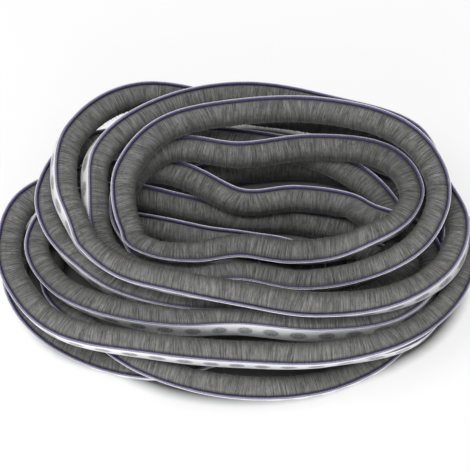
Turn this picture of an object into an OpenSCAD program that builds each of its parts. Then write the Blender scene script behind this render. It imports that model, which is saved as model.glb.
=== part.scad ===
// Self-adhesive brush-pile weatherstrip, about five metres in one loose oval hank.
// The strip lies on its side edge: the liner faces outward and the pile points into the hank.
// Millimetres, +Z up, origin on the floor at the middle of the hank's bounding box.

/* [Strip] */
// Width of the backing, which is how tall each turn lies
strip_w = 9; // [7:0.5:11]
// Thickness of the backing with the adhesive coat on its outer face
backing_t = 1.3; // [0.8:0.1:2]
// Thickness of the siliconed paper release liner
liner_t = 0.3; // [0.15:0.05:0.5]
// How far the liner stays back from each edge of the backing
liner_inset = 0.2; // [0:0.1:0.6]
// Height of the pile above the backing
pile_h = 11.4; // [9:0.2:12.6]
// Width of the row of tufts where it leaves the backing
pile_root_w = 7; // [4:0.2:7]
// Width of the brushed-out pile at its fullest
pile_w = 9; // [7:0.2:9]
// Width of the pile across its rounded tips
pile_tip_w = 5.4; // [3:0.2:6]
// Height above the backing at which the pile reaches its full width
pile_flare = 2; // [1:0.2:4]
// Height over which the pile rounds off to its tips
pile_crown = 2.6; // [1:0.2:4]

/* [Hank] */
// Length of the base oval that the turns are laid round
oval_l = 190; // [170:1:230]
// Depth of the base oval
oval_d = 110; // [104:1:140]
// Clearance between turns that lie side by side or on each other
turn_gap = 0.3; // [0.2:0.1:1]

/* [Hidden] */

// Clearance where two layers of the strip meet
seam = 0.1;
// Rings of the swept section between one station and the next
rings = 3;
// Stations of one turn, starting at the left and going round by the front
stations = 16;

strip_h = liner_t + seam + backing_t + seam + pile_h;
backing_at = liner_t + seam;
pile_at = backing_at + backing_t + seam;
step_out = (strip_h + turn_gap) / 10;
step_up = (strip_w + turn_gap) / 10;

// Each row is one turn, from the floor up. The stations are at the left, the front,
// the right and the back, with three between each two of them.
// How far each station lies outside the base oval, in tenths of a strip's height
out_tenths = [
    [  8,  13,  20,  30,   32,  31,  23,   2,  -10, -24, -34, -33,  -31, -27, -15,   7],
    [ 21,  27,  29,  26,   15,  25,  28,  21,   14,  -4, -16, -18,  -19, -12,   0,  10],
    [ 14,  14,  15,   9,    6,  13,  19,  15,    4, -11,  -9, -12,  -16,   1,  13,  23],
    [ 25,  28,  32,  26,   22,  30,  31,  27,   21,  18,  24,  26,   28,  37,  27,  10],
    [ -1,  -3,  -2,  -3,    0,   9,  17,  20,   19,  17,  28,  28,   30,  24,  13,  -3],
    [-10, -11, -11, -13,  -17,  -9,  -2,   6,   11,  17,  22,  21,   17,  12,  -2, -16],
    [-23, -22, -22, -24,  -28, -24, -20, -13,   -3,   7,  13,   8,    1,   7,  -3, -15],
    [-24, -24, -23, -22,  -22, -17, -11,  -7,   -3,  -1,   3,   9,   13,  18,  23,  16],
    [  7,   1,   0,  -2,   -6,  -3,   1,   5,    9,  12,  10,   9,    4,   1]
];

// How high each station's lowest edge lies, in tenths of a strip's width
up_tenths = [
    [  0,   0,  12,  12,    4,   0,   0,   0,    0,   0,   0,   0,    0,   0,   0,   0],
    [  0,   0,   0,   0,    6,  14,  10,   9,    0,   0,   0,   0,    0,   2,   9,  10],
    [ 10,  12,  22,  20,   20,  20,  20,  20,   20,  20,  11,  10,   11,  12,   8,  10],
    [ 11,  16,  23,  25,   18,  24,  21,  20,   20,  19,  14,  12,   12,  20,  28,  30],
    [ 30,  30,  30,  30,   30,  30,  30,  30,   30,  29,  26,  23,   23,  26,  28,  25],
    [ 18,  18,  18,  18,   19,  21,  26,  34,   40,  40,  38,  34,   32,  32,  31,  27],
    [ 21,  20,  20,  20,   20,  20,  21,  29,   31,  29,  26,  23,   22,  22,  21,  16],
    [ 10,   9,   8,   7,    7,   8,  10,  10,   10,  10,  14,  12,   11,  14,  18,  20],
    [ 20,  20,  19,  17,   11,   9,  10,  10,   10,   9,   2,   1,    1,   0]
];

// How far the strip is rolled about its run, in degrees, with the liner turned down
roll_degrees = [
    [  0,   0,   0,  11,   26,  14,   0,   0,    0,   0,   0,   0,    0,   0,   0,   0],
    [  0,  10,   8,   8,   10,   0,   0,   0,    0,   0,   0,   0,    0,   0,   0,   0],
    [  0,   9,  12,   4,   -5,  -5,   0,   0,    0,   0,   0,   0,    0,   0,   0,   0],
    [  5,  19,  24,  18,   18,  20,   8,   0,    0,   0,   0,   0,    0,   0, -15, -15],
    [-13,   3,  18,  22,   37,  37,  15,   0,    0,   0,   0,   0,    0, -15, -27, -25],
    [-18,  -6,   0,   0,    0,   8,  10,   8,    0, -10, -10,  -5,    0,   0,   0,   0],
    [  0,   0,   0,  10,   23,  30,  20,   8,    0,   0,   0,   0,    0,   0,   0,   0],
    [  0,   0,   0,   0,    0,   0,   0,   0,    0,   0,   0,   0,    0,   0,   0,   0],
    [  0,   0,   0,   0,    0,   0,   0,   0,    0,   0,   0,   0,    0,   0]
];

outs = [for (row = out_tenths) for (v = row) v];
ups = [for (row = up_tenths) for (v = row) v];
rolls = [for (row = roll_degrees) for (v = row) v];
last = len(outs) - 1;

// Value of a list at a place between its entries, on a smooth curve through them all
function entry(v, i) = v[max(0, min(len(v) - 1, i))];
function between(v, s) =
    let (i = min(floor(s), len(v) - 2), f = s - i)
    let (a = entry(v, i - 1), b = entry(v, i), c = entry(v, i + 1), d = entry(v, i + 2))
    b + f * (c - a) / 2 + f * f * (a - 2.5 * b + 2 * c - d / 2)
    + f * f * f * (1.5 * (b - c) + (d - a) / 2);

// Plan place of the turn's outermost line at station s, before the hank is centred
function plan(s) =
    let (out = step_out * between(outs, s), turned = 180 + 360 / stations * s)
    [(oval_l / 2 + out) * cos(turned), (oval_d / 2 + out) * sin(turned)];

// Unit vector that points out of the hank at station s, square to the strip's run
function outward(s) =
    let (e = 0.05, run = plan(min(s + e, last)) - plan(max(s - e, 0)))
    [run.y, -run.x] / norm(run);

// A section's point [depth from the liner's face, height] rolled about the strip's run
function rolled(p, a) = [p.y * sin(a) - p.x * cos(a), p.x * sin(a) + p.y * cos(a)];

// A layer of the strip between two depths, as a section of even width
function layer(from, to, width) =
    [[from, width / 2], [to, width / 2], [to, -width / 2], [from, -width / 2]];

function pile_section() =
    let (tip = pile_at + pile_h)
    let (half = [[pile_at, pile_root_w / 2], [pile_at + pile_flare, pile_w / 2],
                 [tip - pile_crown, pile_w / 2], [tip, pile_tip_w / 2]])
    [for (p = half) p, for (i = [3:-1:0]) [half[i].x, -half[i].y]];

outline = concat(layer(0, liner_t, strip_w - 2 * liner_inset),
                 layer(backing_at, backing_at + backing_t, strip_w), pile_section());

// Ring of points that a section makes at station s, set down on its lowest corner
function ring(section, s) =
    let (a = between(rolls, s), whole = [for (p = outline) rolled(p, a)])
    let (edge = max([for (p = whole) p.x]), foot = min([for (p = whole) p.y]))
    let (lift = step_up * max(0, between(ups, s)), at = plan(s), n = outward(s))
    [for (p = section) let (q = rolled(p, a))
        [at.x + n.x * (q.x - edge), at.y + n.y * (q.x - edge), q.y - foot + lift]];

ring_at = [for (i = [0:last * rings]) i / rings];
line = [for (s = ring_at) plan(s)];
middle = [for (k = [0, 1])
    (max([for (p = line) p[k]]) + min([for (p = line) p[k]])) / 2];

// One layer of the strip carried along the whole hank and closed at its two cut ends
module swept(section) {
    n = len(section);
    points = [for (s = ring_at) each ring(section, s)];
    top = len(points) - n;
    sides = [for (i = [0:n:top - 1]) for (j = [0:n - 1])
        let (a = i + j, b = i + (j + 1) % n, c = b + n, d = a + n)
        each j < n / 2 ? [[a, b, c], [a, c, d]] : [[a, b, d], [b, c, d]]];
    start = [for (j = [n - 1:-1:0]) j];
    end = [for (j = [0:n - 1]) top + j];
    translate([-middle.x, -middle.y, 0])
        polyhedron(points, concat(sides, [start, end]), convexity = 20);
}

// Dense brushed pile of grey yarn, cut level at its tips
module pile() {
    color("#4f4f52") swept(pile_section());
}

// Stiff woven backing that holds the tufts, coated with adhesive on its outer face
module backing() {
    color("#a29fbe") swept(layer(backing_at, backing_at + backing_t, strip_w));
}

// Paper liner that covers the adhesive until the strip is stuck down
module release_liner() {
    color("#e4e4e6") swept(layer(0, liner_t, strip_w - 2 * liner_inset));
}

pile();
backing();
release_liner();
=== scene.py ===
"""Brush-pile weatherstrip in a loose oval hank: fibres, ribbed backing and paper liner."""
import math

import bpy
import numpy as np
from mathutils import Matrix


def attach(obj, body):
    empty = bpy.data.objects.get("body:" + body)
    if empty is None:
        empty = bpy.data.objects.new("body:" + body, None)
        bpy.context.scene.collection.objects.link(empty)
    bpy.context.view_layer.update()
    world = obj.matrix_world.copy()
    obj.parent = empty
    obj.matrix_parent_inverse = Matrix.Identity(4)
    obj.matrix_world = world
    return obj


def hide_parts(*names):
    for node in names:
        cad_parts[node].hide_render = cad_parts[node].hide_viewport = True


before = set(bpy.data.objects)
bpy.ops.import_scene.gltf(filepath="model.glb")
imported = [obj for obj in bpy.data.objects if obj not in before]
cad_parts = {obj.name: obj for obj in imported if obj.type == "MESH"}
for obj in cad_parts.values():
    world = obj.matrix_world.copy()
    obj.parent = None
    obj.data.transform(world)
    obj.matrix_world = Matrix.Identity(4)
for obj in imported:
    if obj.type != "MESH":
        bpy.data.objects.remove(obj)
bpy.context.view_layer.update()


# The hank. One length of strip, looped by hand into nine turns that lie on their side
# edge, with the liner outward. Sizes are in millimetres up to the meshes themselves.
STRIP_W = 9.0
BACKING_T = 1.3
LINER_T = 0.3
LINER_W = 8.6
PILE_H = 11.4
PILE_CROWN = 2.6
PILE_TIP_W = 5.4
MIDDLE_DEPTH = 7.0
SEAM = 0.1
TURN_GAP = 0.3
FLOOR_GAP = 0.02
OVAL_L, OVAL_D = 190.0, 110.0
BACKING_AT = LINER_T + SEAM
PILE_AT = BACKING_AT + BACKING_T + SEAM
TIP = PILE_AT + PILE_H

# One row a turn, 16 stations a row: left, front, right and back, with three between each.
# Tenths of the strip's height outside the base oval, tenths of its width above the floor,
# and degrees of roll that turn the liner down.
TURN_STATIONS = 16
OUT = [
      8,  13,  20,  30,   32,  31,  23,   2,  -10, -24, -34, -33,  -31, -27, -15,   7,
     21,  27,  29,  26,   15,  25,  28,  21,   14,  -4, -16, -18,  -19, -12,   0,  10,
     14,  14,  15,   9,    6,  13,  19,  15,    4, -11,  -9, -12,  -16,   1,  13,  23,
     25,  28,  32,  26,   22,  30,  31,  27,   21,  18,  24,  26,   28,  37,  27,  10,
     -1,  -3,  -2,  -3,    0,   9,  17,  20,   19,  17,  28,  28,   30,  24,  13,  -3,
    -10, -11, -11, -13,  -17,  -9,  -2,   6,   11,  17,  22,  21,   17,  12,  -2, -16,
    -23, -22, -22, -24,  -28, -24, -20, -13,   -3,   7,  13,   8,    1,   7,  -3, -15,
    -24, -24, -23, -22,  -22, -17, -11,  -7,   -3,  -1,   3,   9,   13,  18,  23,  16,
      7,   1,   0,  -2,   -6,  -3,   1,   5,    9,  12,  10,   9,    4,   1,
]
UP = [
      0,   0,  12,  12,    4,   0,   0,   0,    0,   0,   0,   0,    0,   0,   0,   0,
      0,   0,   0,   0,    6,  14,  10,   9,    0,   0,   0,   0,    0,   2,   9,  10,
     10,  12,  22,  20,   20,  20,  20,  20,   20,  20,  11,  10,   11,  12,   8,  10,
     11,  16,  23,  25,   18,  24,  21,  20,   20,  19,  14,  12,   12,  20,  28,  30,
     30,  30,  30,  30,   30,  30,  30,  30,   30,  29,  26,  23,   23,  26,  28,  25,
     18,  18,  18,  18,   19,  21,  26,  34,   40,  40,  38,  34,   32,  32,  31,  27,
     21,  20,  20,  20,   20,  20,  21,  29,   31,  29,  26,  23,   22,  22,  21,  16,
     10,   9,   8,   7,    7,   8,  10,  10,   10,  10,  14,  12,   11,  14,  18,  20,
     20,  20,  19,  17,   11,   9,  10,  10,   10,   9,   2,   1,    1,   0,
]
ROLL = [
      0,   0,   0,  11,   26,  14,   0,   0,    0,   0,   0,   0,    0,   0,   0,   0,
      0,  10,   8,   8,   10,   0,   0,   0,    0,   0,   0,   0,    0,   0,   0,   0,
      0,   9,  12,   4,   -5,  -5,   0,   0,    0,   0,   0,   0,    0,   0,   0,   0,
      5,  19,  24,  18,   18,  20,   8,   0,    0,   0,   0,   0,    0,   0, -15, -15,
    -13,   3,  18,  22,   37,  37,  15,   0,    0,   0,   0,   0,    0, -15, -27, -25,
    -18,  -6,   0,   0,    0,   8,  10,   8,    0, -10, -10,  -5,    0,   0,   0,   0,
      0,   0,   0,  10,   23,  30,  20,   8,    0,   0,   0,   0,    0,   0,   0,   0,
      0,   0,   0,   0,    0,   0,   0,   0,    0,   0,   0,   0,    0,   0,   0,   0,
      0,   0,   0,   0,    0,   0,   0,   0,    0,   0,   0,   0,    0,   0,
]

# The band is limp, so in places its lower edge is tucked in under the pile. Degrees.
TUCK = [
     30,  36,  36,  22,    8,  14,  24,  22,   12,   6,   6,   6,    6,   6,  12,  20,
     20,  18,  22,  22,   18,  24,  22,  18,   14,   6,   6,   6,    6,   6,  12,  14,
     18,  16,  10,   0,    0,   0,   4,   8,   12,   6,   6,   6,    6,   0,   0,   8,
     12,   0,   0,   0,    0,   6,  20,  20,   12,   6,   6,   6,    0,   0,   0,   0,
      6,  14,  12,   6,    0,   0,   4,   0,    0,   4,   6,   6,    6,   0,   0,   0,
      0,   8,  18,  22,   26,  20,  18,  16,   14,   6,   6,   6,    6,   6,  12,  20,
     26,  26,  24,  18,   10,   4,   6,  14,   14,   6,   6,   6,    6,   6,   6,  10,
     14,  14,  14,  14,   14,  14,  14,  14,   10,   6,   6,   6,    6,   6,  10,  16,
     22,  14,  12,  20,   20,  16,  14,  12,   10,   6,   6,   6,    6,   6,
]
LAST = len(OUT) - 1
RUN_STEP = 0.05


def between(values, s):
    """Value at place s of a list: the cubic through its entries whose slope at each entry
    is half the difference of the entries beside it."""
    v = np.concatenate([values[:1], values, values[-1:]]).astype(float)
    i = np.clip(np.floor(s).astype(int), 0, LAST - 1)
    f = s - i
    a, b, c, d = v[i], v[i + 1], v[i + 2], v[i + 3]
    return (b + f * (c - a) / 2 + f * f * (a - 2.5 * b + 2 * c - d / 2)
            + f * f * f * (1.5 * (b - c) + (d - a) / 2))


def plan(s):
    """Outermost line of the turns: an ellipse's point at one station's share of a turn for
    each station, with both half axes longer by the distance outside the base oval."""
    out = (TIP + TURN_GAP) / 10 * between(OUT, s)
    turned = np.radians(180 + 360 / TURN_STATIONS * s)
    return np.stack([(OVAL_L / 2 + out) * np.cos(turned),
                     (OVAL_D / 2 + out) * np.sin(turned)], -1)


# The hank is centred by the box of its outermost line, taken at three places a station.
thirds = plan(np.arange(0, LAST * 3 + 1) / 3)
MIDDLE = (thirds.max(0) + thirds.min(0)) / 2

# Corners of the whole section that can be its lowest or its outermost one.
CORNERS = np.array([(0, LINER_W / 2), (BACKING_AT, STRIP_W / 2),
                    (TIP - PILE_CROWN, STRIP_W / 2), (TIP, PILE_TIP_W / 2)])
CORNERS = np.concatenate([CORNERS, CORNERS * (1, -1)])


def strip_point(s, depth, height):
    """Place in metres of a point of the strip: depth from the liner's face, height from the
    strip's middle line. The section is sheared by the tuck, which fades towards the tips,
    and rolled. It is set down on its lowest corner with its outermost corner on the turn's
    line, square to the run, and no point lies lower than a hair's breadth over the floor."""
    s, depth, height = np.broadcast_arrays(np.asarray(s, float), depth, height)
    tuck = np.tan(np.radians(between(TUCK, s))) * np.clip(1 - depth / TIP, 0, 1)
    depth = depth + (STRIP_W / 2 - height) * tuck
    run = plan(np.minimum(s + RUN_STEP, LAST)) - plan(np.maximum(s - RUN_STEP, 0))
    out = np.stack([run[..., 1], -run[..., 0]], -1) / np.linalg.norm(run, axis=-1)[..., None]
    roll = np.radians(between(ROLL, s))
    sin, cos = np.sin(roll)[..., None], np.cos(roll)[..., None]
    edge = (CORNERS[:, 1] * sin - CORNERS[:, 0] * cos).max(-1)
    foot = (CORNERS[:, 0] * sin + CORNERS[:, 1] * cos).min(-1)
    sin, cos = sin[..., 0], cos[..., 0]
    lift = (STRIP_W + TURN_GAP) / 10 * np.maximum(between(UP, s), 0)
    across = height * sin - depth * cos - edge
    xy = plan(s) - MIDDLE + out * across[..., None]
    z = np.maximum(depth * sin + height * cos - foot + lift, FLOOR_GAP)
    return np.concatenate([xy, z[..., None]], -1) / 1000


# Length along the strip's middle line, taken at 40 places a station.
stations = np.linspace(0, LAST, LAST * 40 + 1)
middle_line = strip_point(stations, MIDDLE_DEPTH, 0.0) * 1000
steps = np.linalg.norm(np.diff(middle_line, axis=0), axis=1)
LENGTH_AT = np.concatenate([[0], np.cumsum(steps)])
LENGTH = LENGTH_AT[-1]


def station_at(length):
    """Station of a place given in millimetres along the strip's middle line."""
    return np.interp(length, LENGTH_AT, stations)


# The pile. Tufts of dull grey yarn are woven into the backing, brushed out into single
# fibres and cut level, so its sides are streaked along the fibres. Its tips are dark by painted
# shade.
PILE_STEP = 0.55
CORE_IN = 0.25

# Half widths of the pile at its roots and at its fullest, how far it draws in at the tips,
# the heights of its flare and its rounding, and the depths at which its side has points.
ROOT_HALF, FULL_HALF, CROWN_IN = 3.5, 4.5, 2.4
FLARE, ROUNDING = 2.0, 6.0
SIDE_DEPTHS = PILE_AT + np.array([
    0, 0.5, 1.2, 2.0, 3.2, 4.6, 6.0, 7.4, 8.8, 9.7, 10.4, 10.9, 11.25])
rng = np.random.default_rng(7)


def make_piece(name, points, faces, uv, material, node):
    """One mesh object from points in metres and faces of three or four corners, with a UV
    map called strip that holds one pair a point, standing for a CAD node."""
    mesh = bpy.data.meshes.new(name)
    mesh.from_pydata(points.tolist(), [], faces)
    layer = mesh.uv_layers.new(name="strip")
    corner = np.empty(len(mesh.loops), np.int32)
    mesh.loops.foreach_get("vertex_index", corner)
    layer.data.foreach_set("uv", uv[corner].astype(np.float32).ravel())
    mesh.polygons.foreach_set("use_smooth", np.ones(len(mesh.polygons), bool))
    mesh.materials.append(material)
    piece = bpy.data.objects.new(name, mesh)
    bpy.context.scene.collection.objects.link(piece)
    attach(piece, "root")
    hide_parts(node)
    return piece


def tube_faces(rings, sides):
    """Faces of a tube of rings that each have the same number of points, closed round the
    rings and at both ends. They point outwards where the points of a ring go anticlockwise
    for someone who looks along the run."""
    i, j = np.meshgrid(np.arange(rings - 1), np.arange(sides), indexing="ij")
    a, b = i * sides + j, i * sides + (j + 1) % sides
    quads = np.stack([a, a + sides, b + sides, b], -1).reshape(-1, 4).tolist()
    first = list(range(sides))
    last = [(rings - 1) * sides + k for k in range(sides)]
    return quads + [first, last[::-1]]


class Shader:
    """A material in the making. Each method but done adds one node: add answers with the
    node itself, and the others with its output."""

    def __init__(self, name):
        self.material = bpy.data.materials.new(name)
        self.material.use_nodes = True
        self.tree = self.material.node_tree
        self.tree.nodes.remove(self.tree.nodes["Principled BSDF"])

    def add(self, kind, inputs=None, **settings):
        """A node of any kind with its settings, and its inputs linked or set."""
        node = self.tree.nodes.new(kind)
        for key, value in settings.items():
            setattr(node, key, value)
        for key, value in (inputs or {}).items():
            if isinstance(value, bpy.types.NodeSocket):
                self.tree.links.new(value, node.inputs[key])
            else:
                node.inputs[key].default_value = value
        return node

    def strip(self):
        """Place on the strip's own map, in centimetres."""
        return self.add("ShaderNodeUVMap", uv_map="strip").outputs[0]

    def stretched(self, at, stretch):
        """A place on the map with its second part scaled."""
        return self.add("ShaderNodeMapping", {
            "Vector": at, "Scale": (1.0, stretch, 1.0)}).outputs[0]

    def noise(self, at, scale, detail):
        """Smooth random value between 0 and 1 at a place on the map."""
        return self.add("ShaderNodeTexNoise", {"Vector": at, "Scale": scale, "Detail": detail},
                        noise_dimensions="2D").outputs["Fac"]

    def calc(self, operation, *values):
        """Result of one step of arithmetic."""
        return self.add("ShaderNodeMath", dict(enumerate(values)),
                        operation=operation).outputs[0]

    def fit(self, value, *limits):
        """A value carried from one range to a second one, which is 0 to 1 unless given."""
        return self.add("ShaderNodeMapRange", dict(enumerate((value, *limits)))).outputs[0]

    def ramp(self, value, stops):
        """Colour that a value picks from a list of places and colours, blended between."""
        node = self.add("ShaderNodeValToRGB", {"Fac": value})
        spots = node.color_ramp.elements
        spots[0].position, spots[0].color = stops[0]
        spots[1].position, spots[1].color = stops[-1]
        for place, colour in stops[1:-1]:
            spots.new(place).color = colour
        return node.outputs[0]

    def blend(self, share, first, second, how="MIX"):
        """Two colours put together by a share of the second."""
        return self.add("ShaderNodeMix", {0: share, 6: first, 7: second},
                        data_type="RGBA", blend_type=how).outputs[2]

    def bump(self, height, strength, distance):
        """Normal of a surface raised by a height of 0 to 1 times a distance in metres."""
        return self.add("ShaderNodeBump", {
            "Height": height, "Strength": strength, "Distance": distance}).outputs[0]

    def done(self, shade):
        """The material, with the shader node that it ends in."""
        self.tree.links.new(shade.outputs[0], self.tree.nodes["Material Output"].inputs["Surface"])
        return self.material


def pile_half_width(depth):
    """Half width of the pile at a depth: narrow at the tufts' roots, full after a smooth
    rise over the flare, and rounded off towards the tips by the power 2.6 of the way
    through the rounding."""
    rise = np.clip((depth - PILE_AT) / FLARE, 0, 1)
    crown = np.clip((depth - (TIP - ROUNDING)) / ROUNDING, 0, 1)
    full = ROOT_HALF + (FULL_HALF - ROOT_HALF) * (rise * rise * (3 - 2 * rise))
    return full - CROWN_IN * crown ** 2.6


def wave(place, period, seed):
    """Smooth random value from -1 to 1 along a line, with a new value every period."""
    table = np.random.default_rng(seed).uniform(-1, 1, 8192)
    x = place / period
    i = np.floor(x).astype(int)
    f = x - i
    f = f * f * (3 - 2 * f)
    return table[i % len(table)] * (1 - f) + table[(i + 1) % len(table)] * f


def slant(length):
    """How far the tufts lean along the strip at a length, from -1 to 1."""
    return wave(length, 17, 1)


# The pile's closed section: depth and height of its points, the length round it to each,
# and the direction inwards.
side_w = pile_half_width(SIDE_DEPTHS)
PROFILE_Q = np.concatenate([SIDE_DEPTHS, [TIP, TIP, TIP], SIDE_DEPTHS[::-1]])
PROFILE_W = np.concatenate([side_w, [1.2, 0, -1.2], -side_w[::-1]])
profile_steps = np.hypot(np.diff(PROFILE_Q), np.diff(PROFILE_W))
PROFILE_RUN = np.concatenate([[0], np.cumsum(profile_steps)])
PROFILE_IN = np.stack([np.gradient(PROFILE_W), -np.gradient(PROFILE_Q)], -1)
PROFILE_IN /= np.linalg.norm(PROFILE_IN, axis=1)[:, None]


def pile_body(first, last):
    """Points and strip map of the pile between two lengths: its section carried along the
    strip, sunk a little everywhere, and grooved between the clumps of fibres. A clump is a
    random wave along the strip, shifted by depth and height, so that the clumps fan out
    towards the tips. Near the cut the section is ragged as well."""
    length = np.linspace(first, last, max(2, int((last - first) / PILE_STEP)))[:, None]
    q, w = PROFILE_Q[None], PROFILE_W[None]
    up = np.clip((q - PILE_AT) / PILE_H, 0, 1)
    lean = length + 0.24 * q * slant(length) + 0.12 * w * wave(length, 9, 2)
    clump = wave(lean + 7 * np.sign(w), 1.3, 3) * 0.13 + wave(lean, 3.4, 4) * 0.12
    ragged = wave(length * 3.1 + 40 * w, 1.0, 5) * 0.16 * np.clip((up - 0.85) / 0.15, 0, 1)
    groove = clump * (0.25 + 0.75 * up) + ragged
    sink = CORE_IN + groove
    points = strip_point(station_at(length), q + PROFILE_IN[:, 0] * sink,
                         w + PROFILE_IN[:, 1] * sink)
    uv = np.stack(np.broadcast_arrays(lean / 10, PROFILE_RUN[None] / 10), -1)
    return points.reshape(-1, 3), uv.reshape(-1, 2), points.shape[:2]


# Loose fibre ends a millimetre on the upper side, the lower side and at the tips, how far
# from the middle those at the tips start, and their place round the section on the map.
FIBRES_A_MM = {1: 9.0, -1: 3.0, 0: 9.0}
TIP_HALF = 3.9
TIP_RUN = 12.2


def fibres(first, last, count, side):
    """Points, faces and strip map of loose fibre ends between two lengths. Each is a flat
    tapered ribbon of a quad and a triangle, with q its depth and w its height at its root,
    middle and end. On a side it lies along the pile, and its end lifts by up to a third of
    a millimetre. At the tips it ends within 0.6 mm of the cut, or stands out by up to 5 mm
    where the squared draw is large."""
    length = rng.uniform(first, last, count)
    lean = 0.9 * slant(length) + rng.normal(0, 0.35, count)
    wide = rng.uniform(0.06, 0.11, count)
    if side == 0:
        q0, w0 = np.full(count, TIP - 1.8), rng.uniform(-TIP_HALF, TIP_HALF, count)
        reach = rng.uniform(1.3, 2.4, count) + 0.12 * rng.exponential(1.0, count) ** 2
        reach = np.minimum(reach, 7) - 0.5 * (np.abs(w0) / TIP_HALF) ** 3
        q1, w1 = q0 + reach * 0.55, w0 * 1.03
        q2, w2 = q0 + reach, w0 * 1.06 + rng.normal(0, 0.2, count)
    else:
        q0 = PILE_AT + 0.4 + (PILE_H - 3.2) * rng.uniform(0, 1, count)
        reach = np.minimum(rng.uniform(1.8, 4.2, count), TIP + 0.2 - q0)
        q1, q2 = q0 + reach * 0.5, q0 + reach
        w0 = side * (pile_half_width(q0) - 0.5)
        w1 = side * (pile_half_width(q1) - 0.08 + rng.uniform(-0.1, 0.15, count))
        w2 = side * (pile_half_width(q2) - 0.02 + rng.uniform(-0.15, 0.35, count))
    q = np.stack([q0, q0, q1, q1, q2], 1)
    w = np.stack([w0, w0, w1, w1, w2], 1)
    along = np.stack([-wide, wide, -wide * 0.8 + lean * 0.4, wide * 0.8 + lean * 0.4, lean], 1)
    place = np.clip(length[:, None] + along, 0, LENGTH)
    points = strip_point(station_at(place), q, w).reshape(-1, 3)
    start = np.arange(count)[:, None] * 5
    quads = (start + [0, 1, 3, 2]).tolist()
    tips = (start + [2, 3, 4]).tolist()
    shade = np.broadcast_to((length + rng.uniform(0, 300, count))[:, None], q.shape)
    run = np.where(side == 0, TIP_RUN, q - PILE_AT)
    return points, quads + tips, np.stack([shade / 10, run / 10], -1).reshape(-1, 2)


# Streaks of the yarn, as the scale of their noise, its stretch and its share of the tone.
STREAKS = [(26.0, 0.04, 0.40), (12.0, 0.06, 0.36), (3.0, 0.35, 0.24)]
YARN_DARK, YARN_PALE = (0.052, 0.052, 0.05, 1), (0.225, 0.224, 0.216, 1)

# Painted light and shade of the yarn at centimetres round the section from the middle of the
# tips: painted shade at the tips and lit sides. The roots are at the end of this way, and catch
# the backing's colour with painted shade.
PAINTED_SHADE_ROUND = [(0.0, 0.26), (0.25, 0.36), (0.45, 0.58), (0.7, 0.86), (0.95, 1.0), (1.2, 0.98),
          (1.42, 0.7)]
TIP_TO_ROOT = 1.6
ROOT_TINT_AND_SHADE = (0.30, 0.27, 0.36, 1)


def pile_yarn():
    """Grey yarn. Its tone is the sum of three noises that are stretched along the fibres:
    thin streaks, wider streaks and clumps. Painted shade darkens it towards the cut tips and
    towards the roots, where it also takes the backing's tint, by the distance round the section
    from the middle of the tips."""
    yarn = Shader("pile_yarn")
    strip = yarn.strip()
    tone = 0.0
    for scale, stretch, share in STREAKS:
        streak = yarn.noise(yarn.stretched(strip, stretch), scale, 2.0)
        tone = yarn.calc("MULTIPLY_ADD", streak, share, tone)
    grey = yarn.ramp(tone, [(0.38, YARN_DARK), (0.64, YARN_PALE)])
    run = yarn.add("ShaderNodeSeparateXYZ", {0: strip}).outputs["Y"]
    run = yarn.calc("SUBTRACT", run, float(PROFILE_RUN[-1] / 2) / 10)
    run = yarn.calc("MULTIPLY", yarn.calc("ABSOLUTE", run), 1 / TIP_TO_ROOT)
    stops = [(place / TIP_TO_ROOT, (level, level, level, 1)) for place, level in PAINTED_SHADE_ROUND]
    # Painted light and shade round the section: shaded tips, lit sides, shaded and tinted roots.
    painted_shade = yarn.ramp(run, stops + [(1.0, ROOT_TINT_AND_SHADE)])
    return yarn.done(yarn.add("ShaderNodeBsdfPrincipled", {
        "Base Color": yarn.blend(1.0, grey, painted_shade, "MULTIPLY"), "Roughness": 0.85,
        "Normal": yarn.bump(tone, 0.6, 0.0004), "Sheen Weight": 0.15, "Sheen Roughness": 0.5}))


yarn = pile_yarn()
TURNS = np.interp(np.append(np.arange(0, LAST, TURN_STATIONS), LAST), stations, LENGTH_AT)
for turn, (first, last) in enumerate(zip(TURNS[:-1], TURNS[1:])):
    points, uv, (rings, sides) = pile_body(first, last)
    faces = tube_faces(rings, sides)
    for side, density in FIBRES_A_MM.items():
        more, more_faces, more_uv = fibres(first, last, int((last - first) * density), side)
        faces += [[k + len(points) for k in face] for face in more_faces]
        points, uv = np.concatenate([points, more]), np.concatenate([uv, more_uv])
    make_piece(f"pile_turn_{turn + 1}", points, faces, uv, yarn, "pile")


# The backing. A stiff ribbon of woven polypropylene that grips the tufts. Its two edges
# stand clear as thin lavender lips, darker on the side where the tufts come out, partly in
# colour and partly by painted shade.
BAND_STEP = 1.2
BAND_CORNER = 0.2

# Colours across the lip, from the adhesive's side to the tufts. The dark end is partly the
# plastic's colour and partly painted shade along the tufts.
LIP_COLOURS_AND_SHADE = [(0.0, (0.27, 0.255, 0.37, 1)), (0.4, (0.25, 0.235, 0.36, 1)),
               (0.58, (0.06, 0.05, 0.13, 1)), (1.0, (0.035, 0.025, 0.075, 1))]


def carried(section, step, shift):
    """Points of a closed section of (depth, height) pairs carried along the whole strip, all
    moved in depth by the shift, in millimetres, of their place along it."""
    length = np.linspace(0, LENGTH, int(LENGTH / step))[:, None]
    points = strip_point(station_at(length), section[:, 0] + shift(length), section[:, 1])
    return points.reshape(-1, 3), length, points.shape[:2]


def rounded_bar(near, far, half, corner):
    """Outline of a bar between two depths, with each corner cut by two short sides."""
    c = corner
    top = [(near, half - c), (near + 0.3 * c, half - 0.3 * c), (near + c, half),
           (far - c, half), (far - 0.3 * c, half - 0.3 * c), (far, half - c)]
    return np.array(top + [(q, -w) for q, w in top[::-1]])


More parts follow.
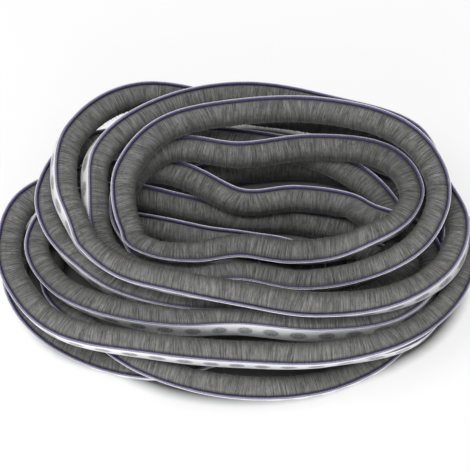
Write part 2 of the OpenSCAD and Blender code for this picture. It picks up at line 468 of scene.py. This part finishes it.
def backing_plastic():
    """Lavender plastic: paler on the outer half of its lip, dark along the tufts, partly in colour
    and partly by painted shade, with an edge that wanders a little, and finely ribbed across the
    lip by the weave."""
    plastic = Shader("backing_plastic")
    strip = plastic.strip()
    depth = plastic.add("ShaderNodeSeparateXYZ", {0: strip}).outputs["Y"]
    place = plastic.calc("MULTIPLY_ADD", plastic.noise(strip, 3.0, 3.0), 0.03, depth)
    # The dark end of the lip is partly the plastic's colour and partly painted shade along the
    # tufts.
    lip = plastic.ramp(plastic.fit(place, 0.045, 0.19), LIP_COLOURS_AND_SHADE)
    weave = plastic.noise(plastic.stretched(strip, 0.1), 22.0, 1.0)
    light = plastic.fit(weave, 0.3, 0.7, 0.72, 1.15)
    return plastic.done(plastic.add("ShaderNodeBsdfPrincipled", {
        "Base Color": plastic.blend(1.0, lip, light, "MULTIPLY"), "Roughness": 0.6,
        "Normal": plastic.bump(weave, 0.4, 0.0002)}))


band = rounded_bar(BACKING_AT, BACKING_AT + BACKING_T, STRIP_W / 2, BAND_CORNER)
points, length, (rings, sides) = carried(band, BAND_STEP, lambda length: 0 * length)
uv = np.stack(np.broadcast_arrays(length / 10, band[:, 0][None] / 10), -1).reshape(-1, 2)
make_piece("backing_band", points, tube_faces(rings, sides), uv, backing_plastic(),
           "backing")


# The release liner. White siliconed paper over the adhesive, as wide as the backing less
# a sliver. It is a little wavy, and carries a row of plain grey ovals.
PAPER_CORNER = 0.08
MARK_PITCH, MARK_L, MARK_W = 14.0, 9.0, 5.2
PAPER_DULL, PAPER_WHITE = (0.72, 0.72, 0.74, 1), (0.84, 0.84, 0.85, 1)
MARK_GREY = (0.20, 0.20, 0.22, 1)


def liner_paper():
    """White paper with a satin skin. Ovals come from the distance to the nearest point of a
    row with a fixed pitch, measured in half lengths along and half widths across, and
    their ink is patchy."""
    liner = Shader("liner_paper")
    strip = liner.strip()
    axes = liner.add("ShaderNodeSeparateXYZ", {0: strip}).outputs
    along = liner.calc("FRACT", liner.calc("MULTIPLY", axes["X"], 10 / MARK_PITCH))
    along = liner.calc("MULTIPLY", liner.calc("SUBTRACT", along, 0.5), 2 * MARK_PITCH / MARK_L)
    across = liner.calc("MULTIPLY", axes["Y"], 20 / MARK_W)
    place = liner.add("ShaderNodeCombineXYZ", {0: along, 1: across}).outputs[0]
    reach = liner.add("ShaderNodeVectorMath", {0: place}, operation="LENGTH").outputs["Value"]
    worn = liner.noise(strip, 9.0, 3.0)
    ink = liner.calc("MULTIPLY", liner.fit(reach, 0.75, 1.1, 1.0, 0.0),
                     liner.fit(worn, 0.3, 0.7, 0.45, 1.0))
    paper = liner.blend(worn, PAPER_DULL, PAPER_WHITE)
    return liner.done(liner.add("ShaderNodeBsdfPrincipled", {
        "Base Color": liner.blend(ink, paper, MARK_GREY), "Roughness": 0.38,
        "Normal": liner.bump(worn, 0.15, 0.0002)}))


paper_bar = rounded_bar(0.0, LINER_T, LINER_W / 2, PAPER_CORNER)
points, length, (rings, sides) = carried(
    paper_bar, BAND_STEP, lambda length: 0.05 * wave(length, 6.0, 11) - 0.03)
uv = np.stack(np.broadcast_arrays(length / 10, paper_bar[:, 1][None] / 10), -1).reshape(-1, 2)
make_piece("release_paper", points, tube_faces(rings, sides), uv, liner_paper(),
           "release_liner")


# The floor and the light: a pale bench under broad soft lamps. Where the camera sees the
# open floor it reads as white, and the floor keeps the hank's shadow.
RAYS = 96
STRAND_DEPTH = 8.0

# Metres from the footprint in to where the deep shade ends and out to where the open floor
# starts, and the bench's radius.
SHADE_IN, SHADE_OUT = 0.001, 0.007
BENCH_R = 4
BENCH_SHADE, BENCH_PALE = (0.14, 0.14, 0.14, 1), (0.88, 0.88, 0.88, 1)
WHITE_SHARE = 0.75


def seen_white(surface, shade, share):
    """A shader that shows plain white to the camera, gloss and glass for a share of it."""
    path = surface.add("ShaderNodeLightPath").outputs
    seen = surface.calc("MAXIMUM", path["Is Camera Ray"], path["Is Glossy Ray"])
    seen = surface.calc("MAXIMUM", seen, path["Is Transmission Ray"])
    white = surface.add("ShaderNodeEmission", {"Color": (1, 1, 1, 1), "Strength": 1.0})
    return surface.add("ShaderNodeMixShader", {
        0: surface.calc("MULTIPLY", seen, share), 1: shade.outputs[0], 2: white.outputs[0]})


# The bench is a disc of rings round the hank's footprint, which is how far the strands
# reach at each of a number of bearings. Inside the footprint the bench is in deep shade.
strands = strip_point(stations, STRAND_DEPTH, 0.0)[:, :2]
bearing = np.arctan2(strands[:, 1], strands[:, 0])
ray = np.round(bearing * RAYS / (2 * np.pi)).astype(int) % RAYS
footprint = np.zeros(RAYS)
np.maximum.at(footprint, ray, np.linalg.norm(strands, axis=1))
footprint = np.min([np.roll(footprint, k) for k in (-1, 0, 1)], axis=0)
turned = 2 * np.pi * np.arange(RAYS) / RAYS
ring = np.stack([np.cos(turned), np.sin(turned), 0 * turned], -1)
reaches = (footprint - SHADE_IN, footprint + SHADE_OUT, 0 * footprint + BENCH_R)
points = np.concatenate([[(0, 0, 0)]] + [ring * reach[:, None] for reach in reaches])
here, after = 1 + np.arange(RAYS), 1 + np.roll(np.arange(RAYS), -1)
faces = np.stack([0 * here, here, after], -1).tolist()
for start in (0, RAYS):
    faces += (start + np.stack([here, here + RAYS, after + RAYS, after], -1)).tolist()

bench = Shader("bench_white")
open_floor = bench.add("ShaderNodeAttribute", attribute_name="open_floor").outputs["Fac"]
share = bench.calc("MULTIPLY", open_floor, WHITE_SHARE)
board = bench.add("ShaderNodeBsdfDiffuse", {
    "Color": bench.blend(open_floor, BENCH_SHADE, BENCH_PALE)})
mesh = bpy.data.meshes.new("bench")
mesh.from_pydata(points.tolist(), [], faces)
mesh.attributes.new("open_floor", "FLOAT", "POINT").data.foreach_set(
    "value", np.repeat([0.0, 0.0, 1.0, 1.0], [1, RAYS, RAYS, RAYS]).astype(np.float32))
mesh.materials.append(bench.done(seen_white(bench, board, share)))
floor = bpy.data.objects.new("bench", mesh)
bpy.context.scene.collection.objects.link(floor)

world = bpy.data.worlds.new("air")
world.use_nodes = True
sky = world.node_tree.nodes["Background"]
sky.inputs["Color"].default_value = (1, 1, 1, 1)
sky.inputs["Strength"].default_value = 0.55
bpy.context.scene.world = world


def lamp(name, place, size, watts, aim=(0, 0, 0.02)):
    """A square lamp of a size at a place, turned to look at a point."""
    data = bpy.data.lights.new(name, "AREA")
    data.size, data.energy = size, watts
    light = bpy.data.objects.new(name, data)
    away = np.array(place, float) - aim
    turn = math.atan2(away[1], away[0])
    light.rotation_euler = (math.acos(away[2] / np.linalg.norm(away)), 0, turn + math.pi / 2)
    light.location = place
    bpy.context.scene.collection.objects.link(light)


lamp("top_lamp", (-0.5, -0.1, 1.2), 0.9, 9)
lamp("front_lamp", (-0.2, -1.4, 0.5), 0.9, 13)

# The camera looks down on the hank's front from far off, and its frame takes in a fixed
# width at the point of the bench that it looks at.
TILT, FAR, FRAME_W = math.radians(54), 6.0, 0.249
LOOK_AT = np.array((-0.00075, 0.01597, 0.0))
camera = bpy.data.objects.new("camera", bpy.data.cameras.new("camera"))
camera.data.angle = 2 * math.atan(FRAME_W / 2 / FAR)
camera.location = LOOK_AT + FAR * np.array((0, -math.cos(TILT), math.sin(TILT)))
camera.rotation_euler = (math.pi / 2 - TILT, 0, 0)
bpy.context.scene.collection.objects.link(camera)
bpy.context.scene.camera = camera
bpy.context.scene.view_settings.view_transform = "Standard"
